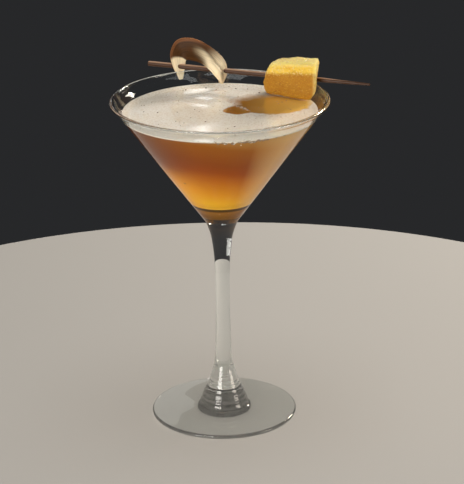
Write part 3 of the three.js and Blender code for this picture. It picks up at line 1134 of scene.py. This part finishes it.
sugar_shake = random.Random(7)
bpy.context.view_layer.update()
ginger_heart = along_pick @ (Vector((GINGER_ALONG, GINGER_BACK, ginger_middle)) * MM)
sides = (GINGER_LENGTH, GINGER_DEPTH, GINGER_HEIGHT)
spots = []
while len(spots) < SUGAR_COUNT:
    outward = Vector([sugar_shake.gauss(0, 1) for _ in range(3)]).normalized()
    aside = Vector([sugar_shake.uniform(-0.4, 0.4) * side * MM for side in sides])
    start = ginger_heart + along_pick.to_3x3() @ aside
    hit, spot, _, _ = ginger_cube.ray_cast(start, outward)
    if hit and spot.z > SUGAR_FROM * MM:
        spots.append(spot)
bpy.ops.object.select_all(action="DESELECT")
bpy.ops.mesh.primitive_cube_add(size=SUGAR_GRAIN * MM)
sugar_grains = bpy.context.object
sugar_grains.name = sugar_grains.data.name = "sugar_grains"
grains_lie = []
for spot in spots:
    turn = Euler([sugar_shake.uniform(0, math.pi) for _ in range(3)]).to_matrix().to_4x4()
    shape = Matrix.Diagonal([sugar_shake.uniform(0.4, 1.2) for _ in range(3)] + [1.0])
    grains_lie.append(Matrix.Translation(spot) @ turn @ shape)
copy_to_places(sugar_grains, grains_lie)

# Sugar crystals: pale, glassy and bright where a flat side catches the light. Below the slanting line they are
# painted darker as shade, and above it lighter as light.
sugar = new_material("sugar_crystals")
place = add_node(sugar, "ShaderNodeTexCoord")
mottle = add_node(
    sugar,
    "ShaderNodeTexNoise",
    inputs={"Vector": place.outputs["Object"], "Scale": 1000 / SUGAR_MOTTLE, "Detail": 2.0},
)
up_slope = add_node(
    sugar,
    "ShaderNodeVectorMath",
    {"operation": "DOT_PRODUCT"},
    {0: place.outputs["Object"], 1: UP_FROM_LINE},
)
lit_upper = add_node(
    sugar,
    "ShaderNodeMapRange",
    inputs={
        "Value": up_slope.outputs["Value"],
        "From Min": PICK_HEIGHT * MM,
        "From Max": (PICK_HEIGHT + 2.2) * MM,
    },
)
sugar_colour = shade_and_light_colour(
    sugar, mottle, lit_upper, dark=("#C08A24", "#F0C84C"), pale=("#D6A84C", "#FFF8D8")
)
body = add_node(
    sugar,
    "ShaderNodeBsdfPrincipled",
    inputs={"Base Color": sugar_colour.outputs["Result"], "Roughness": 0.15, "IOR": 1.54},
)
add_node(sugar, "ShaderNodeOutputMaterial", inputs={"Surface": body.outputs[0]})
sugar_grains.data.materials.append(sugar)
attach(sugar_grains, "root")


# The peel. A crescent-shaped slice of fruit, cut thin with its red-brown skin left along the outer edge and
# pointed at both ends. The pick goes through both ends, and the slice stands over it in a curl.
PEEL_LENGTH = 51.0
PEEL_WIDTH = 12.6
PEEL_THICKNESS = 2.0
PEEL_EDGE = 0.35
PEEL_RIPPLE = 0.25
PEEL_RIDGE = 3.0
PEEL_RIDGE_FROM = 0.44
PEEL_RIDGE_TO = 0.7
PEEL_RIDGE_WIDTH = 0.12
PEEL_RIDGE_WAY = Vector((0.6, -0.8, 0))
STREAK_LENGTH = 17.0
STREAK_WIDTH = 0.9
PEEL_STEPS = 90
PEEL_ACROSS = 28
# Points that meet where the softened edges close up at the tips are merged.
TIP_MERGE = 0.01

# Both edges from the left tip to the right one, as places along the pick, behind it and above it.
peel_outer_edge = [
    (-41.2, -0.8, -7.2),
    (-44.2, -1.8, 0.2),
    (-46.0, -0.8, 7.4),
    (-43.6, 1.6, 13.6),
    (-37.2, 3.0, 15.5),
    (-29.0, 2.9, 14.1),
    (-21.5, 2.5, 10.2),
    (-15.8, 2.0, 4.8),
    (-14.2, 0.8, -0.9),
    (-16.0, -0.7, -6.8),
]
peel_inner_edge = [
    (-40.1, -0.1, -7.0),
    (-38.8, 1.4, -1.2),
    (-38.8, 2.9, 2.6),
    (-36.6, 2.8, 3.7),
    (-33.2, 1.5, 3.6),
    (-29.0, -0.6, 3.4),
    (-24.4, -3.4, 2.4),
    (-20.4, -5.0, 0.4),
    (-18.0, -4.4, -2.4),
    (-16.7, -1.6, -6.6),
]
outer_line = smooth_line(peel_outer_edge, 40)
inner_line = smooth_line(peel_inner_edge, 40)


def ease(value, start, end):
    """Rises smoothly from 0 at the start to 1 at the end."""
    t = min(max((value - start) / (end - start), 0.0), 1.0)
    return t * t * (3 - 2 * t)


def peel_ridge(share, across):
    """How far the lengthwise ridge stands out, as a share of its height. It is steep on its outer side."""
    ridge_at = PEEL_RIDGE_FROM + (PEEL_RIDGE_TO - PEEL_RIDGE_FROM) * ease(share, 0.52, 0.76)
    width = PEEL_RIDGE_WIDTH * (2 if across > ridge_at else 1)
    swelling = ease(share, 0.45, 0.68) * (1 - ease(share, 0.8, 1))
    return swelling * math.exp(-(((across - ridge_at) / width) ** 2))


def peel_place(share, across):
    """A place on the slice at a share of its length, and of its width from the outer edge."""
    at = min(max(share, 0.0), 1.0) * (len(outer_line) - 1)
    k = min(int(at), len(outer_line) - 2)
    outer = Vector(outer_line[k]).lerp(Vector(outer_line[k + 1]), at - k)
    inner = Vector(inner_line[k]).lerp(Vector(inner_line[k + 1]), at - k)
    ripple = PEEL_RIPPLE * noise.noise(Vector((share * 8, across * 3, 0.3)))
    stands_out = PEEL_RIDGE * peel_ridge(share, across) + ripple
    return outer.lerp(inner, across) + PEEL_RIDGE_WAY * stands_out


bpy.ops.object.select_all(action="DESELECT")
bpy.ops.mesh.primitive_grid_add(x_subdivisions=PEEL_STEPS, y_subdivisions=PEEL_ACROSS, size=2)
peel_strip = bpy.context.object
peel_strip.name = peel_strip.data.name = "peel_strip"
lit_paleness = peel_strip.data.attributes.new("lit_paleness", "FLOAT", "POINT")
skin_cover = peel_strip.data.attributes.new("skin_cover", "FLOAT", "POINT")
for vertex in peel_strip.data.vertices:
    share, across = (vertex.co.x + 1) / 2, (1 - vertex.co.y) / 2
    # Painted light at both ends and on the ridge; the crown between them is painted shade.
    left_end = 1 - ease(share - 0.1 * across, 0.155, 0.185)
    right_end = ease(share, 0.6, 0.8)
    lit_paleness.data[vertex.index].value = min(1.0, left_end + right_end + 0.95 * peel_ridge(share, across))
    skin_cover.data[vertex.index].value = (
        ease(across, 0.17, 0.06) * ease(share, 0.16, 0.22) * (1 - 0.8 * ease(share, 0.5, 0.72))
    )
    vertex.co = along_pick @ ((peel_place(share, across) + Vector((0, 0, PICK_HEIGHT))) * MM)
peel_strip.data.update()
thicken = peel_strip.modifiers.new("thicken", "SOLIDIFY")
thicken.thickness = PEEL_THICKNESS * MM
thicken.offset = 0
thicken.material_offset = 1
thicken.material_offset_rim = 2
soften = peel_strip.modifiers.new("soften", "BEVEL")
soften.width = PEEL_EDGE * MM
soften.segments = 2
soften.limit_method = "ANGLE"
soften.angle_limit = math.radians(50)
bpy.ops.object.shade_smooth()

# Damp fruit flesh with streaks about 1 mm wide that follow the slice: painted cream as light at both ends and
# on the ridge, and painted brown as shade along the crown. Its back is paler, and a thin red-brown skin is left
# along the crown's edge.
flesh = new_material("damp_flesh_painted_shade")
back_side = new_material("pale_flesh")
cut_edge = new_material("tan_skin_edge")
for material, pale, shaded_crown, streak, skin in (
    (flesh, "#F3DFBA", "#4C2F15", "#25150A", "#7C4E2C"),
    (back_side, "#F1DBB4", "#A88050", "#80582E", "#7C4E2C"),
    (cut_edge, "#EFD6AC", "#A87850", "#84522E", "#A87048"),
):
    place = add_node(material, "ShaderNodeTexCoord")
    lit_share = add_node(material, "ShaderNodeAttribute", {"attribute_name": "lit_paleness"})
    skin_share = add_node(material, "ShaderNodeAttribute", {"attribute_name": "skin_cover"})
    bare = add_node(
        material,
        "ShaderNodeMix",
        {"data_type": "RGBA"},
        {"Factor": lit_share.outputs["Fac"], "A": linear(shaded_crown), "B": linear(pale)},
    )
    ground = add_node(
        material,
        "ShaderNodeMix",
        {"data_type": "RGBA"},
        {"Factor": skin_share.outputs["Fac"], "A": bare.outputs["Result"], "B": linear(skin)},
    )
    streaks_lie = add_node(
        material,
        "ShaderNodeMapping",
        inputs={
            "Vector": place.outputs["UV"],
            "Scale": (PEEL_LENGTH / STREAK_LENGTH, PEEL_WIDTH / STREAK_WIDTH, 1.0),
        },
    )
    streaks = add_node(
        material,
        "ShaderNodeTexNoise",
        inputs={"Vector": streaks_lie.outputs["Vector"], "Scale": 1.0, "Detail": 4.0, "Roughness": 0.6},
    )
    spread = add_node(
        material,
        "ShaderNodeMapRange",
        inputs={"Value": streaks.outputs["Fac"], "From Min": 0.4, "From Max": 0.7},
    )
    thin_on_pale = add_node(
        material,
        "ShaderNodeMapRange",
        inputs={"Value": lit_share.outputs["Fac"], "To Min": 0.75, "To Max": 0.3},
    )
    streak_share = add_node(
        material,
        "ShaderNodeMath",
        {"operation": "MULTIPLY"},
        {0: spread.outputs["Result"], 1: thin_on_pale.outputs["Result"]},
    )
    tone = add_node(
        material,
        "ShaderNodeMix",
        {"data_type": "RGBA"},
        {"Factor": streak_share.outputs[0], "A": ground.outputs["Result"], "B": linear(streak)},
    )
    relief = add_node(
        material,
        "ShaderNodeBump",
        inputs={"Strength": 0.4, "Distance": 0.3 * MM, "Height": streaks.outputs["Fac"]},
    )
    body = add_node(
        material,
        "ShaderNodeBsdfPrincipled",
        inputs={
            "Base Color": tone.outputs["Result"],
            "Roughness": 0.45,
            "Normal": relief.outputs["Normal"],
            "IOR": 1.4,
            "Specular IOR Level": 0.15,
            "Subsurface Weight": 0.12,
            "Subsurface Radius": (1.0, 0.6, 0.3),
            "Subsurface Scale": 0.8 * MM,
        },
    )
    add_node(material, "ShaderNodeOutputMaterial", inputs={"Surface": body.outputs[0]})
    peel_strip.data.materials.append(material)
bpy.ops.object.modifier_apply(modifier="thicken")
bpy.ops.object.modifier_apply(modifier="soften")
bpy.ops.object.mode_set(mode="EDIT")
bpy.ops.mesh.select_all(action="SELECT")
bpy.ops.mesh.remove_doubles(threshold=TIP_MERGE * MM)
bpy.ops.mesh.dissolve_degenerate(threshold=TIP_MERGE * MM)
bpy.ops.object.mode_set(mode="OBJECT")
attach(peel_strip, "root")
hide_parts("peel_curl")


# The studio. A round pale floor in a dim room, a warm light from behind on the right, a wide fill light in
# front, weaker lights above and on the right, and a dim strip and panel behind that the wet and polished
# surfaces mirror. Its measures are in metres.
FLOOR_RADIUS = 0.3
LIGHTS_AIM = Vector((0, 0, 0.12))

bpy.ops.object.select_all(action="DESELECT")
bpy.ops.mesh.primitive_circle_add(vertices=160, radius=FLOOR_RADIUS, fill_type="NGON")
studio_floor = bpy.context.object
studio_floor.name = studio_floor.data.name = "studio_floor"
pale_floor = new_material("matt_pale_paper")
body = add_node(
    pale_floor,
    "ShaderNodeBsdfPrincipled",
    inputs={"Base Color": linear("#B0AEAA"), "Roughness": 0.8},
)
add_node(pale_floor, "ShaderNodeOutputMaterial", inputs={"Surface": body.outputs[0]})
studio_floor.data.materials.append(pale_floor)

for name, stands, width, length, power, colour in (
    ("key_light", (0.98, 1.04, 0.80), 0.40, 0.40, 26.0, "#FFF4E6"),
    ("fill_light", (-0.9, -1.5, 0.42), 0.90, 0.90, 32.0, "#FFFCF6"),
    ("top_light", (0.1, 0.0, 1.8), 1.20, 1.20, 9.0, "#FFFFFF"),
    ("back_strip", (-0.026, 2.0, 0.85), 0.02, 0.34, 0.12, "#FFFFFF"),
    ("back_panel", (-0.20, 2.0, 0.88), 0.35, 0.35, 0.19, "#FFFFFF"),
    ("side_light", (1.2, -0.5, 0.30), 0.50, 0.50, 6.0, "#FFF4E6"),
):
    bpy.ops.object.light_add(type="AREA", location=stands)
    lamp = bpy.context.object
    lamp.name = name
    lamp.data.shape = "RECTANGLE"
    lamp.data.size = width
    lamp.data.size_y = length
    lamp.data.energy = power
    lamp.data.color = linear(colour)[:3]
    lamp.rotation_euler = (LIGHTS_AIM - Vector(stands)).to_track_quat("-Z", "Y").to_euler()

studio = bpy.data.worlds.new("studio")
bpy.context.scene.world = studio
studio.use_nodes = True
studio.node_tree.nodes["Background"].inputs["Color"].default_value = linear("#C9CCD2")
studio.node_tree.nodes["Background"].inputs["Strength"].default_value = 0.035

# The camera looks down on the glass from the front, as the photograph does.
CAMERA_PLACE = (0.0, -1.15324, 0.52595)
CAMERA_PITCH = math.radians(20.3836)
CAMERA_YAW = math.radians(0.2664)
CAMERA_ROLL = math.radians(-0.742)
CAMERA_LENS = 171.835
CAMERA_SENSOR = 36
bpy.ops.object.camera_add(location=CAMERA_PLACE)
camera = bpy.context.object
camera.rotation_mode = "QUATERNION"
camera.rotation_quaternion = (
    Matrix.Rotation(-CAMERA_YAW, 3, "Z")
    @ Matrix.Rotation(math.radians(90) - CAMERA_PITCH, 3, "X")
    @ Matrix.Rotation(CAMERA_ROLL, 3, "Z")
).to_quaternion()
camera.data.sensor_width = CAMERA_SENSOR
camera.data.lens = CAMERA_LENS
bpy.context.scene.camera = camera
bpy.context.scene.view_settings.view_transform = "Standard"

bpy.context.view_layer.update()
